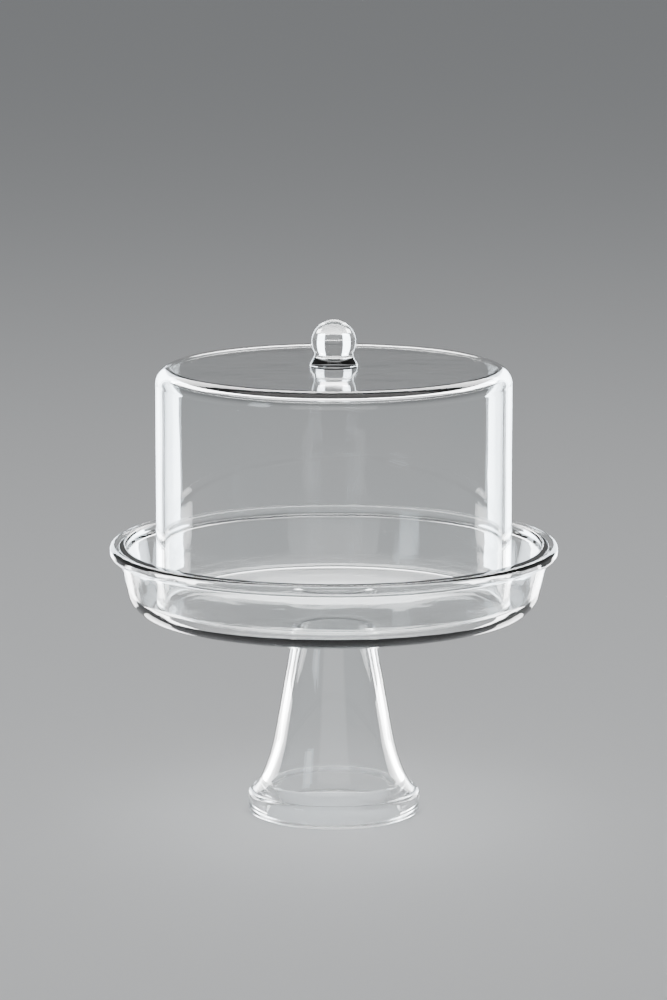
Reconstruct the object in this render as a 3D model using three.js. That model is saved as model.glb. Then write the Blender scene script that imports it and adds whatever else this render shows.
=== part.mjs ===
// Clear glass cake stand: a deep dish on a hollow flared pedestal, under a flat-topped dome that lifts off.
// Millimetres, +Z up. The origin is the centre of the foot's underside. Every piece is turned about Z.
import * as THREE from 'three';

// Fit between pieces
const fuseGap = 0.3; // line along which two pieces of glass are fused
const restGap = 0.3; // under the loose dome

// Foot ring
const footRadius = 58;
const footHoleRadius = 45.5;
const footHeight = 15;
const footEdgeRound = 3.5;

// Pedestal
const stemTopRadius = 27.6;
const stemWall = 5.5;
const stemTaper = 0.178; // growth of the radius for each millimetre down
const flareStartHeight = 50;
const flareFootRadius = footRadius - footEdgeRound;
const flareFootReach = 0.2; // how far the foot's slope and the stem's slope carry into the flare,
const flareStemReach = 0.25; // as shares of its height

// Dish
const dishSeatRadius = 30; // flat under the middle, where the pedestal is fused
const dishSeatHeight = 122;
const dishCapRadius = 470; // beyond the seat the underside is a shallow cap of this radius
const dishFloor = 7.5;
const dishWall = 6;
const dishWallFootRadius = 136; // outside of the wall, where it would meet the underside
const dishWallTopRadius = 143.6; // outside of the wall, under the rim
const dishCornerRadius = 17;
const rimRadius = 150;
const rimTopHeight = 183.5;
const rimBand = 8;

// Dome
const domeRadius = 119;
const domeTopHeight = 302.7;
const domeWall = 6;
const domeShoulderRadius = 11;

// Knob
const collarRadius = 16;
const collarHeight = 6.8;
const neckRadius = 13.1;
const ballRadius = 14.9;
const knobTopHeight = 334.5;

const wideSegments = 60; // around the dish and the dome
const narrowSegments = 36; // around the pedestal, the foot and the knob

const clearGlass = { color: 0xeef4f6, roughness: 0.03, metalness: 0 };

// Outlines are lists of corners in (radius, height). They run up the outside and down the inside, so that
// the turned faces point out.
function corner(radius, height, fillet = 0, steps = 3) {
  return { at: new THREE.Vector2(radius, height), fillet, steps };
}

// The points of one rounded corner, from its first tangent point to its last.
function roundedCorner(before, { at, fillet, steps }, after) {
  if (fillet === 0) return [at];
  const back = before.clone().sub(at).normalize();
  const onward = after.clone().sub(at).normalize();
  const halfAngle = Math.acos(back.dot(onward)) / 2;
  const sweep = Math.sign(onward.cross(back)) * (Math.PI - 2 * halfAngle);
  const first = at.clone().addScaledVector(back, fillet / Math.tan(halfAngle));
  const middle = back.add(onward).normalize().multiplyScalar(fillet / Math.sin(halfAngle)).add(at);
  return Array.from({ length: steps + 1 }, (_, i) => first.clone().rotateAround(middle, (sweep * i) / steps));
}

// A piece turned about Z. A closed outline comes back to its first point; an open one ends on the axis.
function turned(name, corners, { closed, segments }) {
  const count = corners.length;
  const points = corners.flatMap((each, i) =>
    roundedCorner(corners[(i + count - 1) % count].at, each, corners[(i + 1) % count].at));
  if (closed) points.push(points[0].clone());
  const geometry = new THREE.LatheGeometry(points, segments);
  geometry.rotateX(Math.PI / 2); // the lathe's axis, Y, becomes Z
  const mesh = new THREE.Mesh(geometry, new THREE.MeshStandardMaterial(clearGlass));
  mesh.name = name;
  return mesh;
}

// Height of the dish's underside at a radius beyond the flat seat.
function undersideHeight(radius) {
  return dishSeatHeight + (radius ** 2 - dishSeatRadius ** 2) / (2 * dishCapRadius);
}

// Thick solid ring that the pedestal stands in.
function footRing() {
  const holeRound = 1.5;
  const outline = [
    corner(footHoleRadius, 0, holeRound, 2),
    corner(footRadius, 0, holeRound, 2),
    corner(footRadius, footHeight, footEdgeRound),
    corner(footHoleRadius, footHeight),
  ];
  return turned('foot_ring', outline, { closed: true, segments: narrowSegments });
}

// Hollow stem, straight in its upper part and flared below, open at both ends.
function pedestal() {
  const bottom = footHeight + fuseGap;
  const top = dishSeatHeight - fuseGap;
  const drop = flareStartHeight - bottom;
  const footReach = flareFootReach * drop;
  const stemReach = flareStemReach * drop;
  const flareStartRadius = stemTopRadius + stemTaper * (top - flareStartHeight);
  const flare = new THREE.CubicBezierCurve(
    new THREE.Vector2(flareFootRadius, bottom),
    new THREE.Vector2(flareFootRadius - footReach, bottom + footReach),
    new THREE.Vector2(flareStartRadius + stemReach * stemTaper, flareStartHeight - stemReach),
    new THREE.Vector2(flareStartRadius, flareStartHeight));
  const flareSteps = 6;
  const outside = flare.getPoints(flareSteps).map((point) => corner(point.x, point.y));
  const inside = outside.map(({ at }) => corner(Math.min(at.x - stemWall, footHoleRadius), at.y)).reverse();
  const lip = 2.4;
  const outline = [
    ...outside,
    corner(stemTopRadius, top, lip),
    corner(stemTopRadius - stemWall, top, lip),
    ...inside,
  ];
  return turned('pedestal', outline, { closed: true, segments: narrowSegments });
}

// Deep dish: a slightly hollow floor, a rounded corner, a leaning wall and a thick overhanging rim.
function dish() {
  const rimUnderside = rimTopHeight - rimBand;
  const wallLean = (dishWallTopRadius - dishWallFootRadius) / (rimUnderside - undersideHeight(dishWallFootRadius));
  const innerTopRadius = dishWallTopRadius + wallLean * rimBand - dishWall;
  const floorEdgeRadius = dishWallFootRadius + wallLean * dishFloor - dishWall;
  const capRadii = [dishSeatRadius, 2 * dishSeatRadius, 3 * dishSeatRadius];
  const rimRound = 3;
  const outline = [
    corner(0, dishSeatHeight),
    ...capRadii.map((radius) => corner(radius, undersideHeight(radius))),
    corner(dishWallFootRadius, undersideHeight(dishWallFootRadius), dishCornerRadius, 6),
    corner(dishWallTopRadius, rimUnderside, 1, 2),
    corner(rimRadius, rimUnderside, rimRound),
    corner(rimRadius, rimTopHeight, rimRound),
    corner(innerTopRadius, rimTopHeight, rimRound),
    corner(floorEdgeRadius, undersideHeight(floorEdgeRadius) + dishFloor, dishCornerRadius - dishWall, 5),
    ...capRadii.map((radius) => corner(radius, undersideHeight(radius) + dishFloor)).reverse(),
    corner(0, dishSeatHeight + dishFloor),
  ];
  return turned('dish', outline, { closed: false, segments: wideSegments });
}

// Flat-topped dome, open below. Its edge rests on the dish's floor, just inside the corner.
function dome() {
  const bottom = undersideHeight(domeRadius) + dishFloor + restGap;
  const ceiling = domeTopHeight - domeWall;
  const lip = 2.4;
  const outline = [
    corner(0, ceiling),
    corner(domeRadius - domeWall, ceiling, domeShoulderRadius - domeWall),
    corner(domeRadius - domeWall, bottom, lip),
    corner(domeRadius, bottom, lip),
    corner(domeRadius, domeTopHeight, domeShoulderRadius, 6),
    corner(0, domeTopHeight),
  ];
  return turned('dome', outline, { closed: false, segments: wideSegments });
}

// Button of glass that seats the knob on the dome.
function knobCollar() {
  const bottom = domeTopHeight + fuseGap;
  const outline = [
    corner(0, bottom),
    corner(collarRadius, bottom, 1, 2),
    corner(collarRadius, bottom + collarHeight, 4, 4),
    corner(0, bottom + collarHeight),
  ];
  return turned('knob_collar', outline, { closed: false, segments: narrowSegments });
}

// Solid ball on a short neck.
function knob() {
  const bottom = domeTopHeight + collarHeight + 2 * fuseGap;
  const ballHeight = knobTopHeight - ballRadius;
  const neckAngle = -Math.acos(neckRadius / ballRadius);
  const ballSteps = 12;
  const ball = Array.from({ length: ballSteps }, (_, i) => {
    const angle = neckAngle + ((Math.PI / 2 - neckAngle) * i) / ballSteps;
    return corner(ballRadius * Math.cos(angle), ballHeight + ballRadius * Math.sin(angle));
  });
  const outline = [corner(0, bottom), corner(neckRadius, bottom, 0.6, 2), ...ball, corner(0, knobTopHeight)];
  return turned('knob', outline, { closed: false, segments: narrowSegments });
}

const cakeStand = new THREE.Group();
cakeStand.add(footRing(), pedestal(), dish(), dome(), knobCollar(), knob());

export default cakeStand;
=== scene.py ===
import math

import bpy
from mathutils import Matrix, Vector


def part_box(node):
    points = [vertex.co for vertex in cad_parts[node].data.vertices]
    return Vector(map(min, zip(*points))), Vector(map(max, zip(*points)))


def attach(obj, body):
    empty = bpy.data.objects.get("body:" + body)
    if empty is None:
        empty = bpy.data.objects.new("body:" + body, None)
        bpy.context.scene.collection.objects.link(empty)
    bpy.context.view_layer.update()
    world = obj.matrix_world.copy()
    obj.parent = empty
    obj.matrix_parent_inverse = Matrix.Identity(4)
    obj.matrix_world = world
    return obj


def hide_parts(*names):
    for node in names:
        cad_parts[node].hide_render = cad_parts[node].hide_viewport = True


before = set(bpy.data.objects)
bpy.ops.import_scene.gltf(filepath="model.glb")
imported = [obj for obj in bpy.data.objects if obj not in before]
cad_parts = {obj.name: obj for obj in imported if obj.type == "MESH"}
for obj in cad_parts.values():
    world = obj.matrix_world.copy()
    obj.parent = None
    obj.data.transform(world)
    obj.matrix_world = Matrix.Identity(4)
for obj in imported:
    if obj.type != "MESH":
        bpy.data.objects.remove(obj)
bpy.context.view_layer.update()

# A clear glass cake stand: dish, pedestal and foot ring fused together, and a loose dome with its knob.
# Every piece is an outline turned about the upright axis. Outlines are worked out in millimetres as
# (radius, height), and run up the outside and down the inside so that the turned faces point out.
mm = 0.001


# A wrapped socket, so that sums can be written as Python: each operator adds a Math node.
class Value:
    def __init__(self, graph, socket):
        self.graph = graph
        self.socket = socket

    def maths(self, operation, *others):
        return self.graph.node("ShaderNodeMath", {"operation": operation}, (self, *others))

    def __add__(self, other):
        return self.maths("ADD", other)

    def __radd__(self, other):
        return self + other

    def __sub__(self, other):
        return self.maths("SUBTRACT", other)

    def __rsub__(self, other):
        return self.graph.node("ShaderNodeMath", {"operation": "SUBTRACT"}, (other, self))

    def __mul__(self, other):
        return self.maths("MULTIPLY", other)

    def __rmul__(self, other):
        return self * other

    def __truediv__(self, other):
        return self.maths("DIVIDE", other)

    def __rtruediv__(self, other):
        return self.graph.node("ShaderNodeMath", {"operation": "DIVIDE"}, (other, self))

    def step(self, low, high):  # eases from 0 at low to 1 at high
        settings = {"interpolation_type": "SMOOTHSTEP"}
        span = {"Value": self, "From Min": low, "From Max": high}
        return self.graph.node("ShaderNodeMapRange", settings, span)


# A node tree, of a material or of geometry, that nodes are added to.
class Graph:
    def __init__(self, tree):
        self.tree = tree

    # settings are set first, then the sockets by name or by number, with a wrapped socket or a plain value
    def node(self, kind, settings=None, sockets=(), output=0):
        made = self.tree.nodes.new(kind)
        for name, value in (settings or {}).items():
            setattr(made, name, value)
        for key, value in sockets.items() if isinstance(sockets, dict) else enumerate(sockets):
            if isinstance(value, Value):
                self.tree.links.new(value.socket, made.inputs[key])
            else:
                made.inputs[key].default_value = value
        return Value(self, made.outputs[output]) if len(made.outputs) else made


# Outlines

# joined: no surface from this corner to the next, because the glass runs on into the neighbouring piece there
def corner(radius, height, fillet=0, steps=10, joined=False):
    return {"at": Vector((radius, height)), "fillet": fillet, "steps": steps, "joined": joined}


def roundedCorner(before, spot, after):
    at, fillet, steps = spot["at"], spot["fillet"], spot["steps"]
    if fillet == 0:
        return [at]
    back = (before - at).normalized()
    onward = (after - at).normalized()
    halfAngle = back.angle(onward) / 2
    sweep = math.copysign(math.pi - 2 * halfAngle, onward.cross(back))
    first = at + back * fillet / math.tan(halfAngle)
    middle = at + (back + onward).normalized() * fillet / math.sin(halfAngle)
    spoke = first - middle
    return [middle + Matrix.Rotation(sweep * i / steps, 2) @ spoke for i in range(steps + 1)]


# The outline's points with their joined marks, corners rounded and long lines split
def outlinePoints(corners, closed, longest):
    rows = []
    last = len(corners) - 1
    for i, spot in enumerate(corners):
        before = corners[i - 1]["at"]
        after = corners[(i + 1) % len(corners)]["at"]
        points = [spot["at"]] if not closed and i in (0, last) else roundedCorner(before, spot, after)
        rows += [(point, False) for point in points]
        rows[-1] = (rows[-1][0], spot["joined"])
    if closed:
        rows.append((rows[0][0], False))
    fine = []
    for (here, joined), (there, _) in zip(rows, rows[1:]):
        parts = max(1, math.ceil((there - here).length / longest))
        fine += [(here.lerp(there, k / parts), joined) for k in range(parts)]
    return [*fine, rows[-1]]


# Geometry Nodes: turns an outline about Z, leaves out the joined stretches and adds the unevenness of hand
# work, which depends on place alone, so that fused pieces still meet.
seamGap = 0.002 * mm  # points nearer than this are one: the seam where the turn closes, and the poles


def turningTree():
    tree = bpy.data.node_groups.new("turnedGlass", "GeometryNodeTree")
    tree.interface.new_socket("Outline", in_out="INPUT", socket_type="NodeSocketGeometry")
    tree.interface.new_socket("Turns", in_out="INPUT", socket_type="NodeSocketInt")
    tree.interface.new_socket("Unevenness", in_out="INPUT", socket_type="NodeSocketFloat")
    tree.interface.new_socket("Wave Length", in_out="INPUT", socket_type="NodeSocketFloat")
    tree.interface.new_socket("Glass", in_out="INPUT", socket_type="NodeSocketMaterial")
    tree.interface.new_socket("Piece", in_out="OUTPUT", socket_type="NodeSocketGeometry")
    graph = Graph(tree)
    given = tree.nodes.new("NodeGroupInput")
    outline, turns, unevenness, waveLength, glass = [Value(graph, given.outputs[i]) for i in range(5)]

    points = graph.node(
        "GeometryNodeAttributeDomainSize", {"component": "MESH"}, {"Geometry": outline}, "Point Count")
    grid = graph.node("GeometryNodeMeshGrid", {}, {"Vertices X": turns + 1, "Vertices Y": points}, "Mesh")
    index = graph.node("GeometryNodeInputIndex")
    turn = ((index + 0.5) / points).maths("FLOOR")
    place = graph.node("GeometryNodeInputPosition")
    sampled = {"Geometry": outline, "Value": place, "Index": index - turn * points}
    onOutline = graph.node("GeometryNodeSampleIndex", {"data_type": "FLOAT_VECTOR"}, sampled)
    axes = graph.node("ShaderNodeSeparateXYZ", {}, (onOutline,)).socket.node.outputs
    radius, height = Value(graph, axes[0]), Value(graph, axes[2])
    angle = turn * math.tau / turns
    turnedPlace = (radius * angle.maths("COSINE"), radius * angle.maths("SINE"), height)
    spot = graph.node("ShaderNodeCombineXYZ", {}, turnedPlace)
    waves = {"Vector": spot, "Scale": 1 / waveLength, "Detail": 1.0, "Roughness": 0.4}
    drift = graph.node("ShaderNodeTexNoise", {"noise_dimensions": "3D"}, waves, "Color")
    centred = graph.node("ShaderNodeVectorMath", {"operation": "SUBTRACT"}, (drift, (0.5, 0.5, 0.5)))
    twice = {0: centred, "Scale": unevenness * 2.0}
    offset = graph.node("ShaderNodeVectorMath", {"operation": "SCALE"}, twice)
    shaped = graph.node("GeometryNodeSetPosition", {}, {"Geometry": grid, "Position": spot, "Offset": offset})

    lines = points - 1
    line = index - ((index + 0.5) / lines).maths("FLOOR") * lines
    mark = graph.node("GeometryNodeInputNamedAttribute", {"data_type": "FLOAT"}, {"Name": "joined"})
    joined = graph.node("GeometryNodeSampleIndex", {}, {"Geometry": outline, "Value": mark, "Index": line})
    opened = {"Geometry": shaped, "Selection": joined.maths("GREATER_THAN", 0.5)}
    kept = graph.node("GeometryNodeDeleteGeometry", {"domain": "FACE"}, opened)
    merged = graph.node("GeometryNodeMergeByDistance", {}, {"Geometry": kept, "Distance": seamGap})
    smooth = graph.node("GeometryNodeSetShadeSmooth", {}, {"Geometry": merged})
    real = graph.node("GeometryNodeRealizeInstances", {}, {"Geometry": smooth})
    done = graph.node("GeometryNodeSetMaterial", {}, {"Geometry": real, "Material": glass})
    tree.links.new(done.socket, tree.nodes.new("NodeGroupOutput").inputs["Piece"])
    return tree


turning = turningTree()
handWork = {"unevenness": 0.22 * mm, "waveLength": 75 * mm}


def turnedPiece(name, node, body, corners, look, material, closed=False):
    rows = outlinePoints(corners, closed, look["longest"])
    mesh = bpy.data.meshes.new(name)
    points = [(r * mm, 0, z * mm) for (r, z), _ in rows]
    mesh.from_pydata(points, [(i, i + 1) for i in range(len(rows) - 1)], [])
    joined = mesh.attributes.new("joined", "FLOAT", "POINT")
    joined.data.foreach_set("value", [float(mark) for _, mark in rows])
    piece = bpy.data.objects.new(name, mesh)
    bpy.context.collection.objects.link(piece)
    turned = piece.modifiers.new("turned", "NODES")
    turned.node_group = turning
    values = {
        "Turns": look["turns"], "Unevenness": handWork["unevenness"],
        "Wave Length": handWork["waveLength"], "Glass": material,
    }
    for socket in turning.interface.items_tree:
        if socket.name in values:
            turned[socket.identifier] = values[socket.name]
    bpy.context.view_layer.update()
    solid = bpy.data.meshes.new_from_object(piece.evaluated_get(bpy.context.evaluated_depsgraph_get()))
    piece.modifiers.clear()
    piece.data = solid
    solid.name = name
    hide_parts(node)
    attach(piece, body)
    print(f"{name}: {len(solid.vertices)} points, {len(solid.polygons)} faces")
    return piece


# Glass

# Sizes and spacings are in millimetres, and wearTop and wearFade in metres. The flow, ripple and seeds bend
# what is seen through the glass. The smear, scratches and wear only roughen it.
clearGlass = {
    "tint": (0.978, 0.992, 0.995),
    "clear": (0.993, 0.998, 0.999),
    "ior": 1.5,
    "polish": 0.012,
    "tintSize": 60, "smearSize": 34, "wipeSize": 2.2, "hairSize": 0.9, "wearSize": 0.6, "wearFade": 0.8 * mm,
}
noWear = -1.0  # a height below everything, so that nothing is worn


def glassMaterial(name, look):
    material = bpy.data.materials.new(name)
    material.use_nodes = True
    material.node_tree.nodes.clear()
    graph = Graph(material.node_tree)
    place = graph.node("ShaderNodeTexCoord", {}, {}, "Object")

    def noise(size, stretch=(1, 1, 1), turn=(0, 0, 0), detail=2.0, rough=0.5):
        moved = graph.node("ShaderNodeMapping", {}, {"Vector": place, "Scale": stretch, "Rotation": turn})
        grain = {"Vector": moved, "Scale": 1 / (size * mm), "Detail": detail, "Roughness": rough}
        return graph.node("ShaderNodeTexNoise", {}, grain)

    height = Value(graph, graph.node("ShaderNodeSeparateXYZ", {}, (place,)).socket.node.outputs[2])

    flow = noise(look["flowSize"], stretch=look["flowStretch"], detail=1.0)
    ripple = noise(look["rippleSize"], stretch=look["flowStretch"], detail=3.0)
    scattered = {"Vector": place, "Scale": 1 / (look["seedSpacing"] * mm)}
    seeds = graph.node("ShaderNodeTexVoronoi", {}, scattered, "Distance")
    seed = 1 - seeds.step(0.0, look["seedSize"] / look["seedSpacing"])
    relief = flow * look["flowDepth"] + ripple * look["rippleDepth"] + seed * look["seedDepth"]

    smear = noise(look["smearSize"], stretch=(1, 1, 0.6), detail=4.0, rough=0.6).step(0.52, 0.78)
    wiped = noise(look["wipeSize"], stretch=(1, 0.12, 0.5), turn=(0.3, 0.2, 0.9), detail=2.0).step(0.5, 0.75)
    hairs = noise(look["hairSize"], stretch=(1, 0.03, 1), turn=(0, 0, 0.5), detail=1.0).step(0.70, 0.735)
    crossing = noise(look["hairSize"], stretch=(0.03, 1, 1), turn=(0, 0, 0.2), detail=1.0).step(0.71, 0.74)
    low = 1 - height.step(look["wearTop"] - look["wearFade"], look["wearTop"])
    worn = low * noise(look["wearSize"], detail=3.0).step(0.35, 0.65)
    scratched = (hairs + crossing) * look["scratches"]
    roughness = look["polish"] + smear * wiped * look["smear"] + scratched + worn * look["wear"]
    tinted = noise(look["tintSize"], detail=1.0).step(0.3, 0.7)
    tints = {0: tinted, 6: (*look["tint"], 1), 7: (*look["clear"], 1)}
    colour = graph.node("ShaderNodeMix", {"data_type": "RGBA"}, tints, 2)
    bump = graph.node("ShaderNodeBump", {}, {"Strength": look["bump"], "Distance": 1 * mm, "Height": relief})
    shader = graph.node("ShaderNodeBsdfPrincipled", {}, {
        "Base Color": colour, "Roughness": roughness, "IOR": look["ior"], "Transmission Weight": 1.0,
        "Normal": bump,
    })
    out = material.node_tree.nodes.new("ShaderNodeOutputMaterial")
    material.node_tree.links.new(shader.socket, out.inputs["Surface"])
    return material


stoutGlass = clearGlass | {
    "flowSize": 26, "flowStretch": (1, 1, 1), "flowDepth": 0.5, "rippleSize": 6, "rippleDepth": 0.03,
    "seedSpacing": 17, "seedSize": 0.45, "seedDepth": 0.05,
    "smear": 0.06, "scratches": 0.08, "wearTop": 0.9 * mm, "wear": 0.35, "bump": 0.35,
}
drawnGlass = stoutGlass | {
    "flowStretch": (1, 1, 0.35), "flowDepth": 0.14, "rippleDepth": 0.01, "scratches": 0.02, "wearTop": noWear,
}

dishGlass = glassMaterial("dishGlass", stoutGlass | {"wearTop": noWear})
footGlass = glassMaterial("footGlass", stoutGlass | {"scratches": 0.0})
stemGlass = glassMaterial("stemGlass", drawnGlass)
domeGlass = glassMaterial("domeGlass", drawnGlass)
knobGlass = glassMaterial("knobGlass", stoutGlass | {"scratches": 0.0, "wearTop": noWear, "flowSize": 12})
print("glass mixed")

# Stand

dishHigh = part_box("dish")[1] / mm
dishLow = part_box("dish")[0] / mm
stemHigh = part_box("pedestal")[1] / mm
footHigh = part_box("foot_ring")[1] / mm

footLook = {
    "holeRadius": 45.5, "edgeRound": 3.5, "baseRound": 1.8, "holeRound": 1.8, "longest": 3.0, "turns": 224,
}
stemLook = {
    "topRadius": 27.6, "wall": 5.5, "taper": 0.178, "flareStart": 50.0, "flareRadius": 54.5, "footReach": 0.2,
    "stemReach": 0.25, "lip": 1.7, "longest": 3.0, "turns": 224,
}
dishLook = {
    "seatRadius": 30.0, "capRadius": 470.0, "floor": 7.5, "wall": 6.0, "wallFootRadius": 136.0,
    "wallTopRadius": 143.6, "cornerRadius": 17.0, "rimBand": 8.0, "rimRound": 3.0, "rimNotch": 1.2,
    "capSteps": 18, "capStep": 5.0, "longest": 4.0, "turns": 320,
}
seatHeight = dishLow.z
contactOuter = stemLook["topRadius"] - stemLook["lip"]
contactInner = stemLook["topRadius"] - stemLook["wall"] + stemLook["lip"]


def footRing():
    look = footLook
    return [
        corner(look["holeRadius"], footHigh.z),
        corner(look["holeRadius"], 0, look["holeRound"]),
        corner(footHigh.x, 0, look["baseRound"]),
        corner(footHigh.x, footHigh.z, look["edgeRound"]),
        corner(stemLook["flareRadius"], footHigh.z),
    ]


def bezier(a, b, c, d, steps):
    points = []
    for i in range(steps + 1):
        t = i / steps
        points.append(a * (1 - t) ** 3 + b * 3 * t * (1 - t) ** 2 + c * 3 * t * t * (1 - t) + d * t ** 3)
    return points


def pedestal():
    look = stemLook
    bottom = footHigh.z
    top = seatHeight
    drop = look["flareStart"] - bottom
    reach = look["stemReach"] * drop
    startRadius = look["topRadius"] + look["taper"] * (top - look["flareStart"])
    flare = bezier(
        Vector((look["flareRadius"], bottom)),
        Vector((look["flareRadius"] - look["footReach"] * drop, bottom + look["footReach"] * drop)),
        Vector((startRadius + reach * look["taper"], look["flareStart"] - reach)),
        Vector((startRadius, look["flareStart"])), 24)
    outside = [corner(p.x, p.y) for p in flare]
    inside = [corner(min(p.x - look["wall"], footLook["holeRadius"]), p.y) for p in reversed(flare)]
    inside[-1] = corner(footLook["holeRadius"], bottom, joined=True)
    topCorners = [
        corner(look["topRadius"], top, look["lip"], joined=True),
        corner(look["topRadius"] - look["wall"], top, look["lip"]),
    ]
    return [*outside, *topCorners, *inside]


def undersideHeight(radius):
    return seatHeight + (radius ** 2 - dishLook["seatRadius"] ** 2) / (2 * dishLook["capRadius"])


def dish():
    look = dishLook
    rimUnderside = dishHigh.z - look["rimBand"]
    footRadius, topRadius = look["wallFootRadius"], look["wallTopRadius"]
    lean = (topRadius - footRadius) / (rimUnderside - undersideHeight(footRadius))
    innerTop = topRadius + lean * look["rimBand"] - look["wall"]
    floorEdge = footRadius + lean * look["floor"] - look["wall"]
    innerRound = look["cornerRadius"] - look["wall"]
    capRadii = [look["seatRadius"] + look["capStep"] * i for i in range(look["capSteps"])]
    return [
        corner(0, seatHeight),
        corner(contactInner, seatHeight, joined=True),
        corner(contactOuter, seatHeight),
        *[corner(r, undersideHeight(r)) for r in capRadii],
        corner(footRadius, undersideHeight(footRadius), look["cornerRadius"], 24),
        corner(topRadius, rimUnderside, look["rimNotch"], 8),
        corner(dishHigh.x, rimUnderside, look["rimRound"]),
        corner(dishHigh.x, dishHigh.z, look["rimRound"]),
        corner(innerTop, dishHigh.z, look["rimRound"]),
        corner(floorEdge, undersideHeight(floorEdge) + look["floor"], innerRound, 20),
        *[corner(r, undersideHeight(r) + look["floor"]) for r in reversed(capRadii)],
        corner(0, seatHeight + look["floor"]),
    ]


pieces = [
    turnedPiece("footRingGlass", "foot_ring", "stand", footRing(), footLook, footGlass),
    turnedPiece("pedestalGlass", "pedestal", "stand", pedestal(), stemLook, stemGlass, closed=True),
    turnedPiece("dishGlass", "dish", "stand", dish(), dishLook, dishGlass),
]

# Dome

domeLow, domeHigh = (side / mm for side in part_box("dome"))
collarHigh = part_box("knob_collar")[1] / mm
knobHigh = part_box("knob")[1] / mm

domeLook = {"wall": 6.0, "shoulder": 11.0, "lip": 2.6, "longest": 4.0, "turns": 320}
knobLook = {
    "neckRadius": 13.0, "neckHeight": 8.6, "ballRadius": 14.9, "ballSteps": 40, "longest": 1.5, "turns": 128,
}


def dome():
    look = domeLook
    ceiling = domeHigh.z - look["wall"]
    inner = domeHigh.x - look["wall"]
    return [
        corner(0, ceiling),
        corner(inner, ceiling, look["shoulder"] - look["wall"], 14),
        corner(inner, domeLow.z, look["lip"]),
        corner(domeHigh.x, domeLow.z, look["lip"]),
        corner(domeHigh.x, domeHigh.z, look["shoulder"], 18),
        corner(collarHigh.x, domeHigh.z, joined=True),
        corner(0, domeHigh.z),
    ]


# the collar swells from the dome to its widest and draws in to the neck, which the ball grows out of
def knobCollar():
    base = domeHigh.z
    rise = knobLook["neckHeight"]
    neck = knobLook["neckRadius"]
    wide = collarHigh.x
    swell = bezier(
        Vector((wide, base)),
        Vector((wide + 0.3, base + 0.45 * rise)),
        Vector((neck + 0.1, base + 0.62 * rise)),
        Vector((neck, base + rise)), 16)
    return [corner(p.x, p.y) for p in swell]


def knob():
    look = knobLook
    centre = knobHigh.z - look["ballRadius"]
    start = -math.acos(look["neckRadius"] / look["ballRadius"])
    steps = look["ballSteps"]
    ball = []
    for i in range(steps + 1):
        angle = start + (math.pi / 2 - start) * i / steps
        radius = look["ballRadius"] * math.cos(angle)
        ball.append(corner(radius, centre + look["ballRadius"] * math.sin(angle)))
    ball[-1] = corner(0, knobHigh.z)
    return [corner(look["neckRadius"], domeHigh.z + look["neckHeight"]), *ball]


pieces += [
    turnedPiece("domeGlass", "dome", "dome_with_knob", dome(), domeLook, domeGlass),
    turnedPiece("knobCollarGlass", "knob_collar", "dome_with_knob", knobCollar(), knobLook, knobGlass),
    turnedPiece("knobGlass", "knob", "dome_with_knob", knob(), knobLook, knobGlass),
]
print("six pieces of glass turned")

# Studio

# All but the box above light the glass alone, to make its edges shine and leave the floor as it is. Most
# stand close behind, just to either side, because a wall of glass seen edge on passes on what is nearly
# straight behind it. Glow is the brightness of a box's face, whatever its size.
white, cool = (1.0, 1.0, 1.0), (0.84, 0.93, 1.0)
studio = {
    "floorColour": (0.70, 0.71, 0.72),
    "floorHalf": 14.0,
    "world": (0.26, 0.265, 0.27),
    "softBoxes": {
        "above": {"at": (0.0, -0.2, 2.6), "size": (2.8, 2.8), "glow": 1.9, "colour": white},
        "backHigh": {"at": (0.0, 2.1, 1.7), "size": (2.8, 1.2), "glow": 11.0, "colour": white},
        "backLeft": {"at": (-0.35, 0.70, 0.31), "size": (0.27, 0.62), "glow": 10.0, "colour": cool},
        "backRight": {"at": (0.35, 0.70, 0.31), "size": (0.27, 0.62), "glow": 10.0, "colour": cool},
        "lowLeft": {"at": (-0.29, 0.36, 0.055), "size": (0.13, 0.11), "glow": 9.0, "colour": white},
        "lowRight": {"at": (0.29, 0.36, 0.055), "size": (0.13, 0.11), "glow": 9.0, "colour": white},
        "footLeft": {"at": (-0.17, 0.13, 0.035), "size": (0.15, 0.07), "glow": 9.0, "colour": white},
        "footRight": {"at": (0.17, 0.13, 0.035), "size": (0.15, 0.07), "glow": 9.0, "colour": white},
        "front": {"at": (0.0, -3.4, 1.1), "size": (3.6, 2.0), "glow": 1.2, "colour": white},
        "frontLeft": {"at": (-1.9, -1.7, 0.95), "size": (0.6, 1.2), "glow": 5.0, "colour": cool},
    },
}


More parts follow.
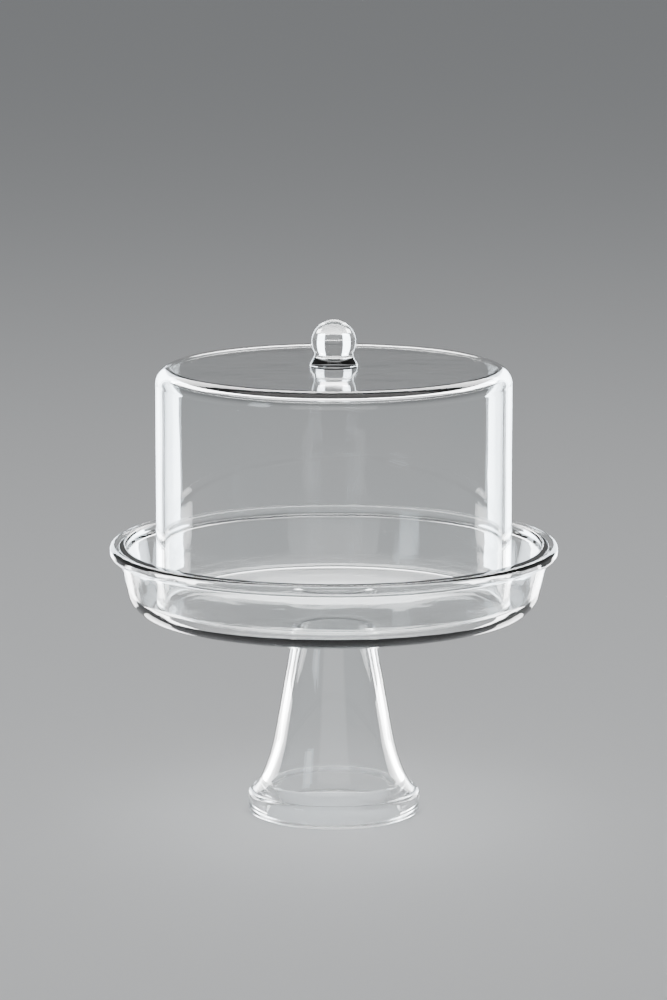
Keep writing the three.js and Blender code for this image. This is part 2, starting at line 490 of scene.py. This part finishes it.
def paleFloor():
    mesh = bpy.data.meshes.new("paleFloor")
    half = studio["floorHalf"]
    spots = [(-half, -half, 0), (half, -half, 0), (half, half, 0), (-half, half, 0)]
    mesh.from_pydata(spots, [], [(0, 1, 2, 3)])
    floor = bpy.data.objects.new("paleFloor", mesh)
    bpy.context.collection.objects.link(floor)
    material = bpy.data.materials.new("palePaper")
    material.use_nodes = True
    material.node_tree.nodes.clear()
    graph = Graph(material.node_tree)
    matt = {"Base Color": (*studio["floorColour"], 1), "Roughness": 0.8}
    shader = graph.node("ShaderNodeBsdfPrincipled", {}, matt)
    out = material.node_tree.nodes.new("ShaderNodeOutputMaterial")
    material.node_tree.links.new(shader.socket, out.inputs["Surface"])
    mesh.materials.append(material)


def softBox(name, look):
    lamp = bpy.data.lights.new(name, "AREA")
    lamp.shape = "RECTANGLE"
    lamp.size, lamp.size_y = look["size"]
    lamp.energy = look["glow"] * math.pi * look["size"][0] * look["size"][1]
    lamp.color = look["colour"]
    holder = bpy.data.objects.new(name, lamp)
    holder.location = look["at"]
    facing = Vector((0, 0, 0.18)) - Vector(look["at"])
    if look["at"][2] < 1:
        facing.z = 0  # upright, standing on the floor
    holder.rotation_euler = facing.to_track_quat("-Z", "Y").to_euler()
    holder.visible_camera = False
    bpy.context.collection.objects.link(holder)
    if name == "above":
        holder.light_linking.blocker_collection = shadowMakers
    else:
        holder.light_linking.receiver_collection = glassware


glassware = bpy.data.collections.new("glassware")
for piece in pieces:
    glassware.objects.link(piece)
# the raised pieces are left out, so that the floor under them stays light
shadowMakers = bpy.data.collections.new("shadowMakers")
for piece in pieces[:2]:  # the foot ring and the pedestal
    shadowMakers.objects.link(piece)
paleFloor()
for name, look in studio["softBoxes"].items():
    softBox(name, look)
world = bpy.data.worlds.new("dimStudio")
world.use_nodes = True
world.node_tree.nodes["Background"].inputs["Color"].default_value = (*studio["world"], 1)
bpy.context.scene.world = world

lens = {"at": (-0.0002, -2.880, 0.7351), "downTilt": 10.287, "length": 104.91}
cameraData = bpy.data.cameras.new("camera")
cameraData.sensor_fit = "VERTICAL"
cameraData.sensor_height = 24.0
cameraData.lens = lens["length"]
camera = bpy.data.objects.new("camera", cameraData)
camera.location = lens["at"]
camera.rotation_euler = (math.radians(90 - lens["downTilt"]), 0, 0)
bpy.context.collection.objects.link(camera)
bpy.context.scene.camera = camera
print("studio set")
